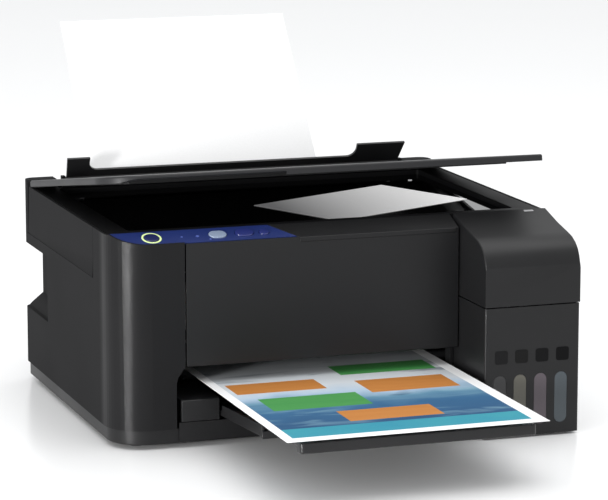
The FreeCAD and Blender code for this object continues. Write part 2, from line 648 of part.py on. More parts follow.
def carriage_motor():
    can = rod_z(11.0, PULLEY_X - 4, BELT_Y, 66, 96)
    boss = rod_z(4.5, PULLEY_X, BELT_Y, 96, 98.4)
    return join([can, boss]).cut(rod_z(2.0 + RUN, PULLEY_X, BELT_Y, 90, 99))


def roller(pos, radius, spans):
    """A steel shaft with rubber sleeves."""
    y, z = pos
    shaft = rod_x(SHAFT_R, -183.4, 183.4, y, z)
    sleeves = [rod_x(radius, a, b, y, z) for a, b in spans]
    gear = rod_x(7.0, -178.0, -172.0, y, z)
    rims = [rod_x(8.0, -179.0, -178.0, y, z), rod_x(8.0, -172.0, -171.0, y, z)]
    flat = box(178.0, 184.0, y + 2.2, y + 4, z - 4, z + 4)
    return join([shaft, gear] + rims + sleeves).cut(flat)


def feed_roller():
    return roller(FEED_POS, ROLLER_R, ROLL_SPANS)


def exit_roller():
    return roller(EXIT_POS, ROLLER_R - 0.3, ROLL_SPANS)


def pinch_rollers():
    """Idle rollers over the feed roller, on one spindle."""
    spindle = rod_x(1.5, -181.4, 181.4, FEED_POS[0], PINCH_Z)
    sleeves = [rod_x(PINCH_R, a + 4, b - 4, FEED_POS[0], PINCH_Z) for a, b in ROLL_SPANS]
    return join([spindle] + sleeves).cut(box(176, 182, FEED_POS[0] + 1.0, FEED_POS[0] + 3, 40, 70))


def star_wheels():
    """Thin toothed wheels that hold the wet print on the exit roller."""
    y = EXIT_POS[0]
    spindle = rod_x(1.0, -181.4, 181.4, y, STAR_Z)
    wheels = []
    for a, b in ROLL_SPANS:
        for x in (a + 5, b - 6):
            ring = [V(x, y + STAR_R * (1.0 if k % 2 else 0.78) * math.cos(math.pi * k / 12),
                      STAR_Z + STAR_R * (1.0 if k % 2 else 0.78) * math.sin(math.pi * k / 12))
                    for k in range(24)]
            wheels.append(Part.Face(Part.makePolygon(ring + ring[:1])).extrude(V(1.0, 0, 0)))
    return join([spindle] + wheels)


def transfer_belt():
    """Belt from the feed roller to the exit roller."""
    y0, y1 = EXIT_POS[0], FEED_POS[0]
    z0, z1 = EXIT_POS[1], FEED_POS[1]
    tilt = math.degrees(math.atan2(z1 - z0, y1 - y0))
    span = math.hypot(y1 - y0, z1 - z0)
    loops = []
    for r, x0, x1 in ((8.2, -177.4, -172.6), (7.3, -178.0, -172.0)):
        disc = [rod_x(r, x0, x1, 0, 0), rod_x(r, x0, x1, span, 0)]
        loops.append(join([box(x0, x1, 0, span, -r, r)] + disc))
    belt = loops[0].cut(loops[1])
    belt.rotate(V(0, 0, 0), V(1, 0, 0), tilt)
    belt.translate(V(0, y0, z0))
    return belt


def platen():
    """Ribbed plate under the print zone."""
    plate = box(-124, 106, -33, 18, 40, 46)
    ribs = [box(x, x + 1.4, -33, 18, 46, 49.4) for x in range(-116, 104, 12)]
    feet = [box(x, x + 6, y, y + 6, 6.5, 40) for x in (-124, 100) for y in (-33, 12)]
    return join([plate] + ribs + feet)


def capping_station():
    """Cap and wiper under the parked head."""
    tub = box(118, 164, -33, 17, 30, 50)
    well = box(123, 159, -29, 13, 44, 51)
    legs = box(120, 162, -30, 14, 6.5, 30)
    lip = box(126, 156, -26, 10, 44, 52.6).cut(box(128, 154, -24, 8, 43, 53))
    return join([tub.cut(well), legs, lip])


def waste_ink_pad():
    return box(108, 162, 72, 160, 6.5, 32)


def power_supply():
    """Closed power supply, low at the left under the roller shafts."""
    case = box(-168, -142, -64, 54, 6.5, 36)
    return rounded(case, 2.0, lambda e: e.BoundBox.ZLength > 20)


def ac_inlet():
    """Two-pole mains inlet in the back wall."""
    y = REAR - 16
    middle = -160.0
    body = box(middle - 14.6, middle + 14.6, y, REAR - 0.6, 24.4, 49.6)
    well = slot_z(middle, 0, 17, 10.4, 0, 12)
    well.rotate(V(middle, 0, 0), V(1, 0, 0), 90)
    well.translate(V(0, REAR + 1, 37))
    pins = [Part.makeCylinder(1.2, 9, V(middle + dx, y + 3, 37), V(0, 1, 0)) for dx in (-4.3, 4.3)]
    return join([body.cut(well)] + pins)


def main_board():
    """Circuit board at the back with its data socket and parts."""
    board = box(-112, 62, 164.0, 165.6, 22, 118)
    socket = box(39, 51, 155.5, REAR - 0.6, 29, 41).cut(box(41, 49, 160, REAR + 1, 31, 39))
    chips = [box(x, x + w, 161.5, 164.0, z, z + h) for x, w, z, h in
             ((-60, 22, 60, 22), (-20, 12, 64, 16), (-95, 14, 40, 14), (10, 10, 80, 8), (-40, 26, 98, 8))]
    return join([board, socket] + chips)


def feeder_frame():
    """Side plates of the sheet feeder, with the pickup shaft's bearings."""
    side = [(70, 6.5), (157, 6.5), (157, 155), (153, 155), (122, 127), (70, 127)]
    plates = [prism_x(side, -141, -138), prism_x(side, 95.5, 98.5)]
    tie = box(-138, 95.5, 150, 152.5, 12, 60)
    return join(plates + [tie]).cut(rod_x(SHAFT_R + RUN, -200, 200, PICKUP_POS[0], PICKUP_POS[1]))


def pickup_roller():
    """Rubber pickup roller on its shaft."""
    shaft = rod_x(SHAFT_R, -143.5, 101.0, PICKUP_POS[0], PICKUP_POS[1])
    tyre = rod_x(12.0, -40, -6, PICKUP_POS[0], PICKUP_POS[1])
    flat = box(98.6, 102, PICKUP_POS[0] + 2.2, PICKUP_POS[0] + 4, 80, 110)
    return join([shaft, tyre]).cut(flat)


def hopper_plate():
    """Plate that carries the stack and lifts it to the pickup roller."""
    plate = on_path(box(-134, 91, -136, -16, -4.6, -1.6))
    barrel = on_path(rod_x(2.4, -134, 91, -16, -4.0))
    return join([plate, barrel])


def edge_guide(side):
    """Upright guide at the side of the stack."""
    x = FEED_X + side * (SHEET_W / 2 + 0.5)
    x0, x1 = sorted((x, x + side * 2.4))
    return on_path(box(x0, x1, -72, -24, -1.2, 5.0))


def paper_support():
    """Backrest that slides up behind the sheets."""
    plate = box(FEED_X - 62, FEED_X + 62, -34, 78, -13.2, -10.4)
    plate = rounded(plate, 10.0, lambda e: e.BoundBox.ZLength > 2 and e.BoundBox.YMin > 70)
    grip = box(FEED_X - 18, FEED_X + 18, 66, 71, -14, -10)
    return on_path(plate.cut(grip))


def output_tray():
    """Fixed tray: a floor with a guide rail at each side."""
    floor = box(-133.4, 99.6, FRONT + 4.8, -36, 8.5, 11.0)
    left = box(-132.0, -100.5, FRONT, -36, 11.0, 39.0).cut(box(-135, -99, FRONT - 1, FRONT + 4.8, 10, SILL + 0.4))
    right = box(87.5, 99.6, FRONT, -36, 11.0, 39.0).cut(box(87, 102, FRONT - 1, FRONT + 4.8, 10, SILL + 0.4))
    rails = [rounded(r, 1.5, lambda e: e.BoundBox.ZMin > 38.9 and e.BoundBox.YMax < FRONT + 0.1)
             for r in (left, right)]
    rails = [r.cut(rod_x(9.6, -140, 110, EXIT_POS[0], EXIT_POS[1])) for r in rails]
    return join([floor] + rails)


def tray_extension():
    """First pull-out stage between the rails."""
    plate = box(-99.2, 86.2, -220, -72, 24.0, 28.6)
    ears = [box(-99.2, -96.6, -222, -120, 28.6, 33.0), box(83.6, 86.2, -222, -120, 28.6, 33.0)]
    lip = box(-99.2, 86.2, -223.5, -220, 22.5, 28.6)
    return on_tray(join([plate, lip] + ears))


def tray_end_stage():
    """Last pull-out stage with the bar under the sheet's edge."""
    plate = box(-95.0, 82.0, -312, -190, 29.0, 31.6)
    bar = box(-101.0, 88.0, -320, -310.5, 26.8, 35.0)
    bar = rounded(bar, 3.0, lambda e: e.BoundBox.ZLength > 7 and e.BoundBox.YMax < -319)
    bar = rounded(bar, 1.2, lambda e: e.BoundBox.XLength > 100 and e.BoundBox.YMax < -319)
    return on_tray(join([plate, bar]))


def ink_tubes():
    """Fixed run of the four tubes, from the tanks to their clip."""
    tubes = []
    for k, x in enumerate(TANK_X):
        y = -88.0 + 5.0 * k
        z = 118.0
        r = 1.7
        runs = [rod_z(r, x, -116.0, 98.0, 104.0), Part.makeCylinder(r, y + 116.0, V(x, -116.0, 104.0), V(0, 1, 0)),
                rod_z(r, x, y, 104.0, z), rod_x(r, 60.0, x, y, z)]
        elbows = [Part.makeSphere(r, V(x, a, b)) for a, b in ((-116.0, 104.0), (y, 104.0), (y, z))]
        tubes.append(join(runs + elbows))
    return Part.makeCompound(tubes)


def blank_sheet():
    """Sheet loaded in the rear feeder."""
    top = 157.0
    return on_path(box(FEED_X - SHEET_W / 2, FEED_X + SHEET_W / 2, top - SHEET_L, top, -0.15, 0.15))


def printed_sheet():
    """Delivered sheet on the tray."""
    front = -321.0
    return box(OUT_X - SHEET_W / 2, OUT_X + SHEET_W / 2, front, front + SHEET_L, PAPER_Z, PAPER_Z + SHEET_T)


def glossy_original():
    """Small glossy print lying on the scan glass."""
    sheet = box(-76.2, 76.2, -51.0, 51.0, 0, SHEET_T)
    sheet.rotate(V(0, 0, 0), V(0, 0, 1), 25.0)
    sheet.translate(V(64.8, 7.8, GLASS_Z + 0.1))
    return sheet


def save(name, shape):
    """Move one node into the part's frame and write it."""
    moved = shape.copy()
    moved.translate(V(0, FRAME_Y, 0))
    moved.exportStep("parts/" + name + ".step")
    b = moved.BoundBox
    good = "" if moved.isValid() else " INVALID"
    print("%-20s %2d solid  x %7.1f %7.1f  y %7.1f %7.1f  z %7.1f %7.1f%s" % (
        name, len(moved.Solids), b.XMin, b.XMax, b.YMin, b.YMax, b.ZMin, b.ZMax, good))


def main():
    os.makedirs("parts", exist_ok=True)
    nodes = {
        "lower_case": lower_case(), "rubber_feet": rubber_feet(), "case_screws": case_screws(),
        "main_housing": main_housing(), "rear_housing": rear_housing(), "feeder_guard": feeder_guard(),
        "front_panel": front_panel(), "control_panel": control_panel(),
        "power_ring_light": power_ring_light(), "indicator_lights": indicator_lights(),
        "scanner_base": scanner_base(), "scanner_frame": scanner_frame(), "hinge_pins": hinge_pins(),
        "scanner_glass": scanner_glass(), "scan_guide_rod": scan_guide_rod(),
        "scan_carriage": scan_carriage(), "lid_cover": lid_cover(), "lid_mat": lid_mat(),
        "tank_cover": tank_cover(), "tank_lower_cover": tank_lower_cover(),
        "tank_windows": tank_windows(), "colour_labels": colour_labels(), "ink_tanks": ink_tanks(),
        "main_frame": main_frame(), "print_carriage": print_carriage(),
        "drive_belts": Part.makeCompound([carriage_belt(), transfer_belt()]), "carriage_motor": carriage_motor(),
        "drive_pulley": pulley(PULLEY_X, 92.0), "idler_pulley": pulley(-PULLEY_X, 96.0),
        "feed_roller": feed_roller(), "exit_roller": exit_roller(), "pinch_rollers": pinch_rollers(),
        "star_wheels": star_wheels(), "platen": platen(),
        "capping_station": capping_station(), "waste_ink_pad": waste_ink_pad(),
        "power_supply": power_supply(), "ac_inlet": ac_inlet(), "main_board": main_board(),
        "feeder_frame": feeder_frame(), "pickup_roller": pickup_roller(), "hopper_plate": hopper_plate(),
        "left_edge_guide": edge_guide(-1), "right_edge_guide": edge_guide(1),
        "paper_support": paper_support(), "output_tray": output_tray(),
        "tray_extension": tray_extension(), "tray_end_stage": tray_end_stage(),
        "ink_tubes": ink_tubes(), "blank_sheet": blank_sheet(), "printed_sheet": printed_sheet(),
        "glossy_original": glossy_original(),
    }
    for name in BUTTONS:
        nodes[name] = button(name)
    for colour, x in zip(CAP_NAMES, TANK_X):
        nodes["tank_cap_" + colour] = tank_cap(x)
    for name, shape in nodes.items():
        save(name, shape)
    print(len(nodes), "nodes")


main()
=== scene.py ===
"""Tank-fed inkjet printer: the looks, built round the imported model. Sizes are in metres."""
import json
import math

import bmesh
import bpy
from mathutils import Matrix, Vector


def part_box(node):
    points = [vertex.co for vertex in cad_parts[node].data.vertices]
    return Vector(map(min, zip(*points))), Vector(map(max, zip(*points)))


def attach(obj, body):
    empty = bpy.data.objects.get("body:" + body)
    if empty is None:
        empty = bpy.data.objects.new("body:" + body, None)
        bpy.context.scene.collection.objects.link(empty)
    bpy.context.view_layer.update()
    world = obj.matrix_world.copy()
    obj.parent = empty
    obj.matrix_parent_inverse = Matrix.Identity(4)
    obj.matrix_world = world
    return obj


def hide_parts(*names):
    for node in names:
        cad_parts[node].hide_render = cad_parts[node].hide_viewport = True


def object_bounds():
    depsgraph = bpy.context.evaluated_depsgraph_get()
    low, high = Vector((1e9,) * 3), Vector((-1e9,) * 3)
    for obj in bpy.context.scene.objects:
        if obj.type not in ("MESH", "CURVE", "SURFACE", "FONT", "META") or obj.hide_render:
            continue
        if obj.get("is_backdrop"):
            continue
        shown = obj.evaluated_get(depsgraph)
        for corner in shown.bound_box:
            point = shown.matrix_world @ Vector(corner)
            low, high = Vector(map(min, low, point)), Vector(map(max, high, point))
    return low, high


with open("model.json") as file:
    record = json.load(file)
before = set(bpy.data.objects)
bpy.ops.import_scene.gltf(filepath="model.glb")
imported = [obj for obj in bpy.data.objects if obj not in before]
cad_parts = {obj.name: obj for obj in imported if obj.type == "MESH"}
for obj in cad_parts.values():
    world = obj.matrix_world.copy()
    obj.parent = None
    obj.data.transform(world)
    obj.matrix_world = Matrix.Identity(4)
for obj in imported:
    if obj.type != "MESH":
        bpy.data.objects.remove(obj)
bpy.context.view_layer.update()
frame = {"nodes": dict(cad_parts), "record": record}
MM = 0.001

# ---- Cabinet shells -------------------------------------------------------------------
# Side and rear walls, bottom pan, rear top and the front left column: injection-moulded
# black ABS, spark-eroded to a fine matt grain, clipped and screwed to the bottom pan.
# Moulded edges are never sharp, so each shell gets a small round that catches the light.


def srgb(code):
    """Linear colour with alpha from an sRGB hex value."""
    parts = [int(code[i:i + 2], 16) / 255 for i in (1, 3, 5)]
    return tuple(c / 12.92 if c <= 0.04045 else ((c + 0.055) / 1.055) ** 2.4 for c in parts) + (1.0,)


def add(tree, kind, links=None, **settings):
    """Adds a shader node, with its settings and with values or links for its sockets."""
    made = tree.nodes.new(kind)
    for key, value in settings.items():
        setattr(made, key, value)
    for key, value in (links or {}).items():
        if isinstance(value, bpy.types.NodeSocket):
            tree.links.new(value, made.inputs[key])
        else:
            made.inputs[key].default_value = value
    return made


def material(name):
    """An empty material: its tree, its shader and its object coordinates."""
    made = bpy.data.materials.new(name)
    made.use_nodes = True
    tree = made.node_tree
    return made, tree, tree.nodes["Principled BSDF"], add(tree, "ShaderNodeTexCoord").outputs["Object"]


def moulded(name, dark, light, rough, grain=0.9 * MM, depth=0.02 * MM, spread=0.03, level=0.5):
    """Moulded plastic: a fine grain, with slow changes of tone and gloss over each face.

    The grain is drawn a little coarser than the real 0.3 mm so that it shows.  The level
    lowers the mirror part of a textured face, whose pits swallow some of the light.
    """
    made, tree, shader, place = material(name)
    slow = add(tree, "ShaderNodeTexNoise", {"Vector": place, "Scale": 14.0, "Detail": 3.0})
    fine = add(tree, "ShaderNodeTexNoise", {"Vector": place, "Scale": 1 / grain, "Detail": 2.0})
    tone = add(tree, "ShaderNodeMix", {0: slow.outputs["Fac"], 6: srgb(dark), 7: srgb(light)},
               data_type="RGBA")
    gloss = add(tree, "ShaderNodeMapRange", {"Value": slow.outputs["Fac"], "From Min": 0.3, "From Max": 0.7,
                                             "To Min": rough - spread, "To Max": rough + spread})
    bump = add(tree, "ShaderNodeBump", {"Height": fine.outputs["Fac"], "Distance": depth, "Strength": 0.6})
    shader.inputs["Specular IOR Level"].default_value = level
    tree.links.new(tone.outputs[2], shader.inputs["Base Color"])
    tree.links.new(gloss.outputs["Result"], shader.inputs["Roughness"])
    tree.links.new(bump.outputs["Normal"], shader.inputs["Normal"])
    return made


def body_of(node):
    """The body that a CAD node rides on."""
    bodies = frame["record"]["behaviour"]["bodies"]
    return next(body for body, nodes in bodies.items() if node in nodes)


def smooth(mesh, angle):
    """Shades a mesh smooth, with edges sharper than the angle left sharp."""
    mesh.shade_smooth()
    mesh.set_sharp_from_angle(angle=math.radians(angle))


def as_piece(name, mesh, finish, body):
    """Puts a finished mesh in the scene, riding on its body."""
    made = bpy.data.objects.new(name, mesh)
    bpy.context.scene.collection.objects.link(made)
    mesh.materials.clear()
    mesh.materials.append(finish)
    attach(made, body)
    return made


def shell(node, finish, edge=0.5 * MM, segments=2):
    """A CAD shell with its moulded edges rounded, in place of the CAD node."""
    form = bmesh.new()
    form.from_mesh(frame["nodes"][node].data)
    bmesh.ops.remove_doubles(form, verts=form.verts, dist=0.01 * MM)
    bmesh.ops.dissolve_limit(form, angle_limit=math.radians(0.4), verts=form.verts, edges=form.edges,
                             use_dissolve_boundaries=False, delimit={"NORMAL"})
    mesh = bpy.data.meshes.new(node + "_shell")
    form.to_mesh(mesh)
    form.free()
    smooth(mesh, 32)
    piece = as_piece(node + "_shell", mesh, finish, body_of(node))
    if edge:
        round_off = piece.modifiers.new("edges", "BEVEL")
        round_off.width = edge
        round_off.segments = segments
        round_off.limit_method = "ANGLE"
        round_off.angle_limit = math.radians(32)
        round_off.use_clamp_overlap = True
        round_off.harden_normals = True
    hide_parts(node)
    return piece


def dress(node, finish):
    """Gives a CAD node its finish and leaves its mesh alone."""
    mesh = frame["nodes"][node].data
    mesh.materials.clear()
    mesh.materials.append(finish)


def coarser_behind(finish, y0, y1, more):
    """Makes a moulded finish rougher from one place along Y to another, as on a coarser tool."""
    tree = finish.node_tree
    shader = tree.nodes["Principled BSDF"]
    axes = add(tree, "ShaderNodeSeparateXYZ", {"Vector": add(tree, "ShaderNodeTexCoord").outputs["Object"]})
    rise = add(tree, "ShaderNodeMapRange", {"Value": axes.outputs["Y"], "From Min": y0, "From Max": y1,
                                            "To Max": more})
    gloss = shader.inputs["Roughness"].links[0].from_socket
    both = add(tree, "ShaderNodeMath", {0: gloss, 1: rise.outputs["Result"]}, operation="ADD")
    tree.links.new(both.outputs[0], shader.inputs["Roughness"])


grained_abs = moulded("grained_black_abs", "#141415", "#171718", 0.34, level=0.13)
COLUMN_RADIUS = 32 * MM
column_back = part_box("front_panel")[0][1] + COLUMN_RADIUS
coarser_behind(grained_abs, column_back - 6 * MM, column_back + 12 * MM, 0.5)
pan_abs = moulded("satin_black_abs", "#131314", "#171718", 0.44, level=0.25)

for name in ("main_housing", "rear_housing"):
    shell(name, grained_abs)
shell("lower_case", pan_abs)

# ---- Front panel ----------------------------------------------------------------------
# Flat moulded wall over the output mouth, with the ledge along its top.  Black ABS, a
# little smoother than the sides, snapped between the column and the tank unit.

front_abs = moulded("smooth_black_abs", "#131314", "#161617", 0.42, depth=0.012 * MM, level=0.27)
shell("front_panel", front_abs, edge=0.6 * MM)

# ---- Control strip --------------------------------------------------------------------
# Blue panel let into the sloping strip: a printed film over polycarbonate, so it has a
# deep colour under a thin clear gloss.  The keys stand 0.8 mm proud and are sprung.

BLUE_DEEP = "#132052"
BLUE_LIGHT = "#1a2b64"


def film(name, dark, light, rough=0.34):
    """Printed film under a clear layer: even colour with a soft gloss."""
    made = moulded(name, dark, light, rough, grain=1.2 * MM, depth=0.006 * MM, spread=0.04)
    shader = made.node_tree.nodes["Principled BSDF"]
    shader.inputs["Coat Weight"].default_value = 0.25
    shader.inputs["Coat Roughness"].default_value = 0.2
    return made


def lit(name, glass, glow, strength):
    """A small lamp window of diffusing plastic, brighter in its middle grain."""
    made, tree, shader, place = material(name)
    cloud = add(tree, "ShaderNodeTexNoise", {"Vector": place, "Scale": 900.0, "Detail": 1.0})
    tone = add(tree, "ShaderNodeMix", {0: cloud.outputs["Fac"], 6: srgb(glass), 7: srgb(glow)},
               data_type="RGBA")
    tree.links.new(tone.outputs[2], shader.inputs["Base Color"])
    tree.links.new(tone.outputs[2], shader.inputs["Emission Color"])
    shader.inputs["Emission Strength"].default_value = strength
    shader.inputs["Roughness"].default_value = 0.35
    return made


panel_film = film("blue_panel_film", BLUE_DEEP, BLUE_LIGHT)
key_blue = film("blue_key_plastic", "#141d54", "#1a266a", 0.38)
key_pale = film("pale_key_plastic", "#6f7d94", "#808da1", 0.40)
key_dark = film("dark_key_plastic", "#0f1742", "#131d50", 0.36)
ring_glow = lit("green_white_lamp", "#a8bd84", "#cfdf9c", 0.42)
lamp_off = lit("unlit_lamp", "#3a4a8c", "#5565a4", 0.05)

shell("control_panel", panel_film, edge=0.3 * MM)
dress("power_ring_light", ring_glow)
dress("indicator_lights", lamp_off)
shell("power_button", key_dark, edge=0)
shell("mono_copy_button", key_pale, edge=0)
shell("colour_copy_button", key_blue, edge=0)
shell("stop_button", key_blue, edge=0)

press = next(j["axis"] for j in frame["record"]["behaviour"]["joints"] if j["name"] == "power_press")
strip_normal = -Vector(press)
strip_turn = Matrix.Rotation(math.asin(press[1]), 4, "X")
CAP_TOP = 3.5 * MM               # from the middle of a key's box to its top face
MARK_THICK = 0.05 * MM


def on_key(node, form):
    """Moves a flat mark to the top of a key."""
    low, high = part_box(node)
    middle = (Vector(low) + Vector(high)) / 2
    place = Matrix.Translation(middle + strip_normal * CAP_TOP) @ strip_turn
    bmesh.ops.transform(form, matrix=place, verts=form.verts)


def ring_mark(form, outer_x, outer_y, width):
    """A flat oval ring about the origin."""
    rim = bmesh.ops.create_circle(form, cap_ends=True, segments=40, radius=1.0)["verts"]
    bmesh.ops.scale(form, vec=(outer_x, outer_y, 1), verts=rim)
    faces = list({f for v in rim for f in v.link_faces})
    inner = bmesh.ops.inset_region(form, faces=faces, thickness=width, use_even_offset=True)
    bmesh.ops.delete(form, geom=faces, context="FACES_ONLY")
    return inner


def bar_mark(form, x, y, width, height):
    """A flat bar."""
    bar = bmesh.ops.create_grid(form, x_segments=1, y_segments=1, size=0.5)["verts"]
    bmesh.ops.scale(form, vec=(width, height, 1), verts=bar)
    bmesh.ops.translate(form, vec=(x, y, 0), verts=bar)


def mark_piece(name, form, node, finish):
    """A printed mark as a thin plate on a key."""
    whole = list(form.faces)
    out = bmesh.ops.extrude_face_region(form, geom=whole)["geom"]
    lifted = [g for g in out if isinstance(g, bmesh.types.BMVert)]
    bmesh.ops.translate(form, vec=(0, 0, MARK_THICK), verts=lifted)
    bmesh.ops.recalc_face_normals(form, faces=form.faces)
    on_key(node, form)
    mesh = bpy.data.meshes.new(name)
    form.to_mesh(mesh)
    form.free()
    as_piece(name, mesh, finish, body_of(node))


mark_ink = film("pale_printed_mark", "#6474b4", "#7484c0", 0.4)
form = bmesh.new()
ring_mark(form, 2.3 * MM, 2.3 * MM, 0.45 * MM)
bar_mark(form, 0, 2.6 * MM, 0.5 * MM, 2.4 * MM)
mark_piece("power_mark", form, "power_button", mark_ink)
form = bmesh.new()
ring_mark(form, 6.6 * MM, 4.4 * MM, 0.45 * MM)
bar_mark(form, -0.8 * MM, 0.2 * MM, 2.6 * MM, 3.0 * MM)
bar_mark(form, 1.6 * MM, -0.5 * MM, 1.2 * MM, 2.4 * MM)
mark_piece("colour_copy_mark", form, "colour_copy_button", mark_ink)
form = bmesh.new()
ring_mark(form, 2.6 * MM, 2.6 * MM, 0.4 * MM)
bar_mark(form, 0, 0, 1.4 * MM, 1.4 * MM)
mark_piece("stop_mark", form, "stop_button", mark_ink)

# ---- Scanner unit ---------------------------------------------------------------------
# Tub and bezel in black ABS carry a 3 mm float-glass plate.  Under the glass the sensor
# bar rides on a ground steel rod.  The tub is black so that the window looks black.

bezel_abs = moulded("bezel_black_abs", "#121213", "#161617", 0.52, depth=0.012 * MM, level=0.08)
shell("scanner_base", grained_abs)
shell("scanner_frame", bezel_abs, edge=0.4 * MM)


def glass(name, tint, rough, through):
    """Polished or cast clear sheet, with the faint waviness of the surface."""
    made, tree, shader, place = material(name)
    wave = add(tree, "ShaderNodeTexNoise", {"Vector": place, "Scale": 9.0, "Detail": 1.0})
    haze = add(tree, "ShaderNodeMapRange", {"Value": wave.outputs["Fac"], "To Min": rough,
                                            "To Max": rough * 2})
    tree.links.new(haze.outputs["Result"], shader.inputs["Roughness"])
    shader.inputs["Base Color"].default_value = srgb(tint)
    shader.inputs["Transmission Weight"].default_value = through
    shader.inputs["IOR"].default_value = 1.52
    return made


dress("scanner_glass", glass("float_glass_over_black", "#0a0b0c", 0.015, 0.0))


def metal(name, colour, rough, grain_along="X", pitch=0.25 * MM):
    """Drawn, ground or plated metal: fine lines along one direction."""
    made, tree, shader, place = material(name)
    stretch = {"X": (0.02, 1, 1), "Y": (1, 0.02, 1), "Z": (1, 1, 0.02)}[grain_along]
    lines = add(tree, "ShaderNodeMapping", {"Vector": place, "Scale": stretch})
    fine = add(tree, "ShaderNodeTexNoise", {"Vector": lines.outputs["Vector"], "Scale": 1 / pitch,
                                            "Detail": 2.0})
    sheen = add(tree, "ShaderNodeMapRange", {"Value": fine.outputs["Fac"], "To Min": rough * 0.7,
                                             "To Max": rough * 1.3})
    tone = add(tree, "ShaderNodeMix", {0: fine.outputs["Fac"], 6: srgb(colour), 7: srgb("#c9cacb")},
               data_type="RGBA")
    tree.links.new(tone.outputs[2], shader.inputs["Base Color"])
    tree.links.new(sheen.outputs["Result"], shader.inputs["Roughness"])
    shader.inputs["Metallic"].default_value = 1.0
    return made


ground_steel = metal("ground_steel_rod", "#a9abad", 0.22)
zinc_sheet = metal("zinc_plated_sheet", "#8f9294", 0.38, pitch=0.8 * MM)
frame_abs = moulded("glass_filled_abs", "#1c1d1f", "#26272a", 0.55, grain=1.4 * MM)
for name in ("hinge_pins", "scan_guide_rod"):
    dress(name, ground_steel)
dress("scan_carriage", frame_abs)

# ---- Document lid ---------------------------------------------------------------------
# Thin moulded cover, turned down at its rim, with a finger groove at the front and a
# foam-backed sheet that presses the original flat, coloured near-black as painted shade for the shadow under
# the lid.

lid_abs = moulded("lid_black_abs", "#1f1f21", "#242425", 0.46, level=0.26)
shell("lid_cover", lid_abs, edge=0.5 * MM)
# Near-black sheet: painted shade for the shadowed underside of the lid.
pad = moulded("pressing_sheet_painted_shade", "#0a0a0b", "#0e0e0f", 0.6, grain=1.6 * MM, depth=0.03 * MM, level=0.25)
dress("lid_mat", pad)

# ---- Ink tank unit --------------------------------------------------------------------
# Two covers stand in front of four filler tanks.  Smoked polycarbonate windows show the
# ink as a muted colour.  Square colour marks are printed above them, with no letters.

INKS = ("#1f1f20", "#4d4b43", "#484046", "#394146")
tank_abs = moulded("tank_black_abs", "#141415", "#181819", 0.38, depth=0.014 * MM, level=0.27)
shell("tank_cover", tank_abs, edge=0.5 * MM)
shell("tank_lower_cover", tank_abs, edge=0.5 * MM)

# A small soft pad near the cover's rear edge stops the lid from rattling on it.
PAD = (8.0 * MM, 2.6 * MM, 0.5 * MM)
PAD_FROM_EDGE = (17.0 * MM, 3.4 * MM, 0.8 * MM)
PAD_SLOPE = math.radians(15.8)
PAD_ROUND = 0.15 * MM
low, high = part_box("tank_cover")
form = bmesh.new()
bmesh.ops.create_cube(form, size=1.0)
bmesh.ops.scale(form, vec=PAD, verts=form.verts)
bmesh.ops.bevel(form, geom=form.edges, offset=PAD_ROUND, segments=2, profile=0.5, affect="EDGES",
                material=-1)
bmesh.ops.rotate(form, matrix=Matrix.Rotation(PAD_SLOPE, 3, "X"), verts=form.verts)
bmesh.ops.translate(form, vec=Vector(high) - Vector(PAD_FROM_EDGE), verts=form.verts)
mesh = bpy.data.meshes.new("lid_pad")
form.to_mesh(mesh)
form.free()
silicone = moulded("pale_silicone", "#8f8f90", "#a2a2a3", 0.5, level=0.4)
as_piece("lid_pad", mesh, silicone, body_of("tank_cover"))


def four_inks(name, colours, rough, coat, level):
    """Plastic that takes each tank's colour from its place along X, a little darker low down."""
    made, tree, shader, place = material(name)
    low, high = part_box("tank_windows")
    axes = add(tree, "ShaderNodeSeparateXYZ", {"Vector": place})
    across = add(tree, "ShaderNodeMapRange", {"Value": axes.outputs["X"], "From Min": low[0],
                                              "From Max": high[0]})
    ramp = add(tree, "ShaderNodeValToRGB", {"Fac": across.outputs["Result"]})
    ramp.color_ramp.interpolation = "CONSTANT"
    steps = ramp.color_ramp.elements
    steps[0].color = srgb(colours[0])
    steps[1].position = 1 / 4
    steps[1].color = srgb(colours[1])
    for k in (2, 3):
        steps.new(k / 4).color = srgb(colours[k])
    height = add(tree, "ShaderNodeMapRange", {"Value": axes.outputs["Z"], "From Min": low[2],
                                              "From Max": high[2], "To Min": 0.25, "To Max": 0.0})
    cloud = add(tree, "ShaderNodeTexNoise", {"Vector": place, "Scale": 60.0, "Detail": 2.0})
    shade = add(tree, "ShaderNodeMath", {0: cloud.outputs["Fac"], 1: height.outputs["Result"]},
                operation="MULTIPLY")
    tone = add(tree, "ShaderNodeMix", {0: shade.outputs[0], 6: ramp.outputs["Color"], 7: srgb("#101012")},
               data_type="RGBA")
    tree.links.new(tone.outputs[2], shader.inputs["Base Color"])
    shader.inputs["Roughness"].default_value = rough
    shader.inputs["Specular IOR Level"].default_value = level
    shader.inputs["Coat Weight"].default_value = coat
    shader.inputs["Coat Roughness"].default_value = 0.08
    return made


dress("tank_windows", four_inks("smoked_polycarbonate", INKS, 0.4, 0.4, 0.3))
dress("colour_labels", four_inks(
    "printed_colour_marks", ("#151516", "#131313", "#0b0b0c", "#050506"), 0.7, 0.0, 0.12))


def translucent(name, tint, rough):
    """Milky polypropylene that lets light through its wall."""
    made, tree, shader, place = material(name)
    cloud = add(tree, "ShaderNodeTexNoise", {"Vector": place, "Scale": 40.0, "Detail": 2.0})
    tone = add(tree, "ShaderNodeMix", {0: cloud.outputs["Fac"], 6: srgb(tint), 7: srgb("#c9cdd0")},
               data_type="RGBA")
    tree.links.new(tone.outputs[2], shader.inputs["Base Color"])
    shader.inputs["Roughness"].default_value = rough
    shader.inputs["Transmission Weight"].default_value = 0.35
    return made


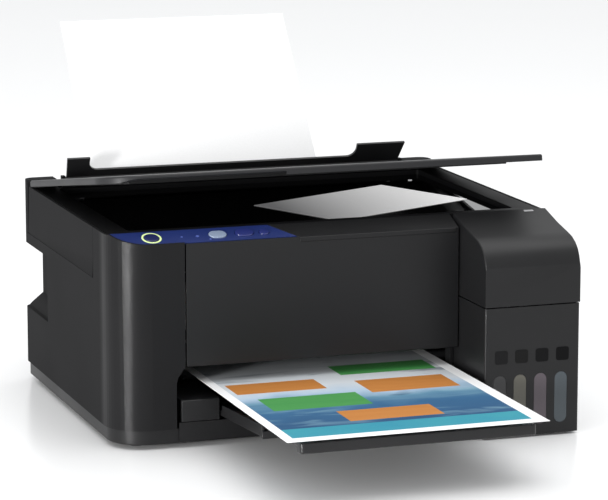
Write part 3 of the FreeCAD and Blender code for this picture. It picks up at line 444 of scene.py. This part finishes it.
dress("ink_tanks", translucent("milky_polypropylene", "#a9adb0", 0.35))
dress("ink_tubes", translucent("clear_tube", "#8f9396", 0.2))
CAP_TINTS = {"black": "#1c1c1e", "yellow": "#8a7a1c", "magenta": "#7a2450", "cyan": "#1c6a8a"}
for colour, tint in CAP_TINTS.items():
    dress("tank_cap_" + colour, moulded("cap_rubber_" + colour, tint, tint, 0.62, grain=1.1 * MM))

# ---- Sheet feeder ---------------------------------------------------------------------
# The guard with its two ears closes the paper mouth; behind it stand the backrest, the
# hopper plate, the side guides and the pickup roller.  Black ABS and natural rubber.

guard_abs = moulded("guard_black_abs", "#151516", "#19191a", 0.40, level=0.4)
shell("feeder_guard", guard_abs, edge=0.4 * MM)
shell("paper_support", guard_abs, edge=0.4 * MM)
for name in ("hopper_plate", "left_edge_guide", "right_edge_guide", "feeder_frame"):
    dress(name, frame_abs)
roller_rubber = moulded("roller_rubber", "#232325", "#2d2d30", 0.75, grain=1.0 * MM, depth=0.05 * MM)
dress("pickup_roller", roller_rubber)

# ---- Output tray ----------------------------------------------------------------------
# Two pull-out stages run between fixed rails; the last one ends in a bar that holds the
# print's front edge up.  Black ABS, slightly glossier than the cabinet.

tray_abs = moulded("tray_black_abs", "#181819", "#1c1c1d", 0.38, depth=0.012 * MM, level=0.3)
for name in ("output_tray", "tray_extension", "tray_end_stage"):
    shell(name, tray_abs, edge=0.5 * MM)

# ---- Mechanism ------------------------------------------------------------------------
# Zinc-plated beam and brackets carry the carriage, its belt and motor.  Steel shafts with
# rubber sleeves move the paper over a ribbed platen.

for name in ("main_frame", "carriage_motor"):
    dress(name, zinc_sheet)
for name in ("star_wheels", "case_screws"):
    dress(name, ground_steel)
for name in ("feed_roller", "exit_roller"):
    dress(name, roller_rubber)
acetal = moulded("white_acetal", "#c9c9c4", "#d6d6d2", 0.42)
for name in ("drive_pulley", "idler_pulley", "pinch_rollers"):
    dress(name, acetal)
for name in ("print_carriage", "platen", "capping_station"):
    dress(name, frame_abs)
dress("drive_belts", moulded("ribbed_neoprene", "#141416", "#1c1c1f", 0.7, grain=2.0 * MM, depth=0.2 * MM))
dress("rubber_feet", moulded("foot_rubber", "#111112", "#171718", 0.8))

# ---- Electrics ------------------------------------------------------------------------
# Closed supply, mains inlet, circuit board with its data socket, and the felt pad that
# soaks up waste ink.

dress("power_supply", moulded("supply_case_abs", "#1b1b1d", "#232326", 0.6))
dress("ac_inlet", moulded("inlet_nylon", "#0e0e0f", "#141416", 0.35))
dress("waste_ink_pad", moulded("pressed_felt", "#b9b7b0", "#cfcdc8", 0.95, grain=3.0 * MM, depth=0.6 * MM))


def board(name):
    """Green solder mask with darker copper tracks under it."""
    made, tree, shader, place = material(name)
    tracks = add(tree, "ShaderNodeTexBrick", {"Vector": place, "Scale": 90.0, "Color1": srgb("#0d4526"),
                                              "Color2": srgb("#115a31"), "Mortar": srgb("#0a331d"),
                                              "Mortar Size": 0.06})
    tree.links.new(tracks.outputs["Color"], shader.inputs["Base Color"])
    shader.inputs["Roughness"].default_value = 0.3
    return made


dress("main_board", board("solder_mask"))

# ---- Paper ----------------------------------------------------------------------------
# A blank sheet in the feeder, a colour print on the tray and a small glossy sheet on the
# glass.  Office paper is matt with faint fibres; the loaded sheet bows a little.


def paper(name, white, shade, rough=0.85):
    """Plain paper: faint fibre mottling and a trace of tooth."""
    made, tree, shader, place = material(name)
    fibre = add(tree, "ShaderNodeTexNoise", {"Vector": place, "Scale": 700.0, "Detail": 4.0})
    tone = add(tree, "ShaderNodeMix", {0: fibre.outputs["Fac"], 6: srgb(white), 7: srgb(shade)},
               data_type="RGBA")
    bump = add(tree, "ShaderNodeBump", {"Height": fibre.outputs["Fac"], "Distance": 0.01 * MM,
                                        "Strength": 0.4})
    tree.links.new(tone.outputs[2], shader.inputs["Base Color"])
    tree.links.new(bump.outputs["Normal"], shader.inputs["Normal"])
    shader.inputs["Roughness"].default_value = rough
    return made, tree, shader, place, tone


PAPER_THICK = 0.25 * MM
plain_paper = paper("office_paper", "#dedede", "#d6d6d6")[0]


def sheet(name, width, length, bow, place, finish, node):
    """A bowed sheet, its lower edge at the origin, moved to its place."""
    form = bmesh.new()
    bmesh.ops.create_grid(form, x_segments=16, y_segments=32, size=0.5)
    bmesh.ops.scale(form, vec=(width, length, 1), verts=form.verts)
    bmesh.ops.translate(form, vec=(0, length / 2, 0), verts=form.verts)
    for vert in form.verts:
        vert.co.z += bow(vert.co.x / width, vert.co.y / length)
    bmesh.ops.solidify(form, geom=form.faces, thickness=PAPER_THICK)
    bmesh.ops.recalc_face_normals(form, faces=form.faces)
    bmesh.ops.transform(form, matrix=place, verts=form.verts)
    mesh = bpy.data.meshes.new(name)
    form.to_mesh(mesh)
    form.free()
    smooth(mesh, 40)
    made = as_piece(name, mesh, finish, body_of(node))
    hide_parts(node)
    return made


low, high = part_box("blank_sheet")
SHEET_WIDTH = high[0] - low[0]
SHEET_LENGTH = math.hypot(high[1] - low[1], high[2] - low[2])
feed_turn = Matrix.Rotation(math.atan2(high[2] - low[2], high[1] - low[1]), 4, "X")
feed_place = Matrix.Translation(((low[0] + high[0]) / 2, low[1], low[2])) @ feed_turn
FEED_BOW = 2.0 * MM
sheet("blank_paper", SHEET_WIDTH, SHEET_LENGTH - 0.4 * MM,
      lambda u, v: FEED_BOW * max(0.0, v - 0.55) ** 2 * (0.4 + u), feed_place, plain_paper, "blank_sheet")

# The print: a white border round soft blocks of colour, a pale sky and a blue sea.


def print_finish(name, low, high):
    """Inkjet print on plain paper, laid out over the sheet from its front left corner."""
    made, tree, shader, place, white = paper(name, "#f4f5f5", "#ededee", 0.55)
    axes = add(tree, "ShaderNodeSeparateXYZ", {"Vector": place})
    u = add(tree, "ShaderNodeMapRange", {"Value": axes.outputs["X"], "From Min": low[0], "From Max": high[0]})
    v = add(tree, "ShaderNodeMapRange", {"Value": axes.outputs["Y"], "From Min": low[1], "From Max": high[1]})
    u, v = u.outputs["Result"], v.outputs["Result"]

    def mix(fac, under, over):
        return add(tree, "ShaderNodeMix", {0: fac, 6: under, 7: over}, data_type="RGBA").outputs[2]

    def math_node(operation, a, b):
        return add(tree, "ShaderNodeMath", {0: a, 1: b}, operation=operation).outputs[0]

    def within(value, middle, half):
        return math_node("LESS_THAN", math_node("ABSOLUTE", math_node("SUBTRACT", value, middle), 0.0), half)

    def block(u0, u1, v0, v1):
        return math_node("MULTIPLY", within(u, (u0 + u1) / 2, (u1 - u0) / 2),
                         within(v, (v0 + v1) / 2, (v1 - v0) / 2))

    swell = add(tree, "ShaderNodeMapping", {"Vector": place, "Scale": (9.0, 42.0, 1.0)})
    wave = add(tree, "ShaderNodeTexNoise", {"Vector": swell.outputs["Vector"], "Scale": 1.0, "Detail": 5.0,
                                            "Distortion": 1.2}).outputs["Fac"]
    drift = add(tree, "ShaderNodeTexNoise", {"Vector": place, "Scale": 22.0, "Detail": 3.0}).outputs["Fac"]
    level = math_node("ADD", v, math_node("MULTIPLY", math_node("SUBTRACT", drift, 0.5), 0.16))
    scene = add(tree, "ShaderNodeValToRGB", {"Fac": level})
    steps = scene.color_ramp.elements
    steps[0].position, steps[0].color = 0.13, srgb("#1b4a72")
    steps[1].position, steps[1].color = 0.30, srgb("#2d5f86")
    for at, colour in ((0.40, "#5c88a2"), (0.47, "#a9bfd3"), (0.56, "#cfd5da"), (0.75, "#c3c7ca"),
                       (0.95, "#a4a9ad")):
        steps.new(at).color = srgb(colour)
    crest = add(tree, "ShaderNodeMapRange", {"Value": wave, "From Min": 0.52, "From Max": 0.70,
                                             "To Max": 0.55})
    sea = math_node("MULTIPLY", crest.outputs["Result"], math_node("LESS_THAN", v, 0.42))
    picture = mix(sea, scene.outputs["Color"], srgb("#86aebd"))
    hollow = add(tree, "ShaderNodeMapRange", {"Value": wave, "From Min": 0.42, "From Max": 0.30,
                                              "To Max": 0.6})
    deep = math_node("MULTIPLY", hollow.outputs["Result"], math_node("LESS_THAN", v, 0.45))
    picture = mix(deep, picture, srgb("#143d5c"))
    cloud = add(tree, "ShaderNodeMapRange", {"Value": wave, "From Min": 0.56, "From Max": 0.68,
                                             "To Max": 0.7})
    far = math_node("MULTIPLY", cloud.outputs["Result"], math_node("GREATER_THAN", v, 0.6))
    picture = mix(far, picture, srgb("#55626e"))
    teal = mix(drift, srgb("#1f82a0"), srgb("#3a9aa4"))
    picture = mix(block(0, 1, 0.0, 0.128), picture, teal)
    orange = mix(wave, srgb("#b06d2c"), srgb("#c48340"))
    green = mix(wave, srgb("#308240"), srgb("#509a50"))
    for place_of, colour in (((0.057, 0.412, 0.53, 0.645), orange), ((0.550, 0.905, 0.445, 0.59), orange),
                             ((0.318, 0.682, 0.16, 0.273), orange), ((0.535, 0.928, 0.665, 0.777), green),
                             ((0.105, 0.490, 0.325, 0.465), green)):
        picture = mix(block(*place_of), picture, colour)
    page = mix(block(0.037, 0.951, 0.036, 0.955), white.outputs[2], picture)
    tree.links.new(page, shader.inputs["Base Color"])
    return made


low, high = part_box("printed_sheet")
print_place = Matrix.Translation(((low[0] + high[0]) / 2, low[1], high[2]))
sheet("printed_paper", high[0] - low[0], high[1] - low[1], lambda u, v: 0.0, print_place,
      print_finish("colour_print", low, high), "printed_sheet")


def glossy_finish(name):
    """Glossy coated paper; its grey-to-white fade across X and its faint glow are painted reflection standing
    in for the sky it mirrors.
    """
    made, tree, shader, place, white = paper(name, "#d8d8d8", "#cfcfcf", 0.28)
    low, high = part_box("glossy_original")
    axes = add(tree, "ShaderNodeSeparateXYZ", {"Vector": place})
    # Painted reflection: grey at the sheet's left edge to near white at its right, for the bright sky
    # mirrored in it.
    painted_reflection_fade = add(tree, "ShaderNodeMapRange", {"Value": axes.outputs["X"], "From Min": low[0],
                                            "From Max": high[0], "To Min": -0.1, "To Max": 1.1})
    tone = add(tree, "ShaderNodeMix", {0: painted_reflection_fade.outputs["Result"], 6: srgb("#646465"), 7: srgb("#efefef")},
               data_type="RGBA")
    tree.links.new(tone.outputs[2], shader.inputs["Base Color"])
    tree.links.new(tone.outputs[2], shader.inputs["Emission Color"])
    shader.inputs["Emission Strength"].default_value = 0.8
    return made


dress("glossy_original", glossy_finish("glossy_paper_painted_reflection"))

# ---- Studio ---------------------------------------------------------------------------
# Plain pale floor, one broad light from above and an upright strip at the front left that
# draws the bright line down the round column.

form = bmesh.new()
bmesh.ops.create_grid(form, x_segments=1, y_segments=1, size=15.0)
mesh = bpy.data.meshes.new("studio_floor")
form.to_mesh(mesh)
form.free()
floor = bpy.data.objects.new("studio_floor", mesh)
bpy.context.scene.collection.objects.link(floor)
made, tree, shader, place = material("pale_floor")
soft = add(tree, "ShaderNodeTexNoise", {"Vector": place, "Scale": 2.0, "Detail": 1.0})
tone = add(tree, "ShaderNodeMix", {0: soft.outputs["Fac"], 6: srgb("#fafafa"), 7: srgb("#fcfcfc")},
           data_type="RGBA")
tree.links.new(tone.outputs[2], shader.inputs["Base Color"])
shader.inputs["Roughness"].default_value = 0.22
mesh.materials.append(made)
floor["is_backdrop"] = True

world = bpy.data.worlds.new("studio_air")
bpy.context.scene.world = world
world.use_nodes = True
world.node_tree.nodes["Background"].inputs["Color"].default_value = srgb("#fbfcfd")
world.node_tree.nodes["Background"].inputs["Strength"].default_value = 0.92


def softbox(name, place, aim, width, height, power):
    """A rectangular soft light turned towards a point."""
    lamp = bpy.data.lights.new(name, "AREA")
    lamp.shape = "RECTANGLE"
    lamp.size, lamp.size_y, lamp.energy = width, height, power
    made = bpy.data.objects.new(name, lamp)
    bpy.context.scene.collection.objects.link(made)
    made.location = place
    made.rotation_euler = (Vector(aim) - Vector(place)).to_track_quat("-Z", "Y").to_euler()


softbox("top_light", (0.2, -0.2, 2.2), (0, 0, 0), 2.6, 2.0, 32)
softbox("left_strip", (-1.62, -1.08, 0.2), (-0.15, -0.08, 0.1), 0.24, 0.4, 38)

# The camera stands to the left of the front and looks slightly down, with a long lens.
CAMERA_PLACE = (-0.8159, -2.3816, 0.6037)
CAMERA_AIM = Vector((0.31942, 0.92991, -0.18229))
lens = bpy.data.cameras.new("camera")
lens.lens = 182.52
lens.sensor_width = 36.0
camera = bpy.data.objects.new("camera", lens)
bpy.context.scene.collection.objects.link(camera)
camera.location = CAMERA_PLACE
camera.rotation_euler = CAMERA_AIM.to_track_quat("-Z", "Y").to_euler()
bpy.context.scene.camera = camera
bpy.context.scene.view_settings.view_transform = "Standard"

low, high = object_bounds()
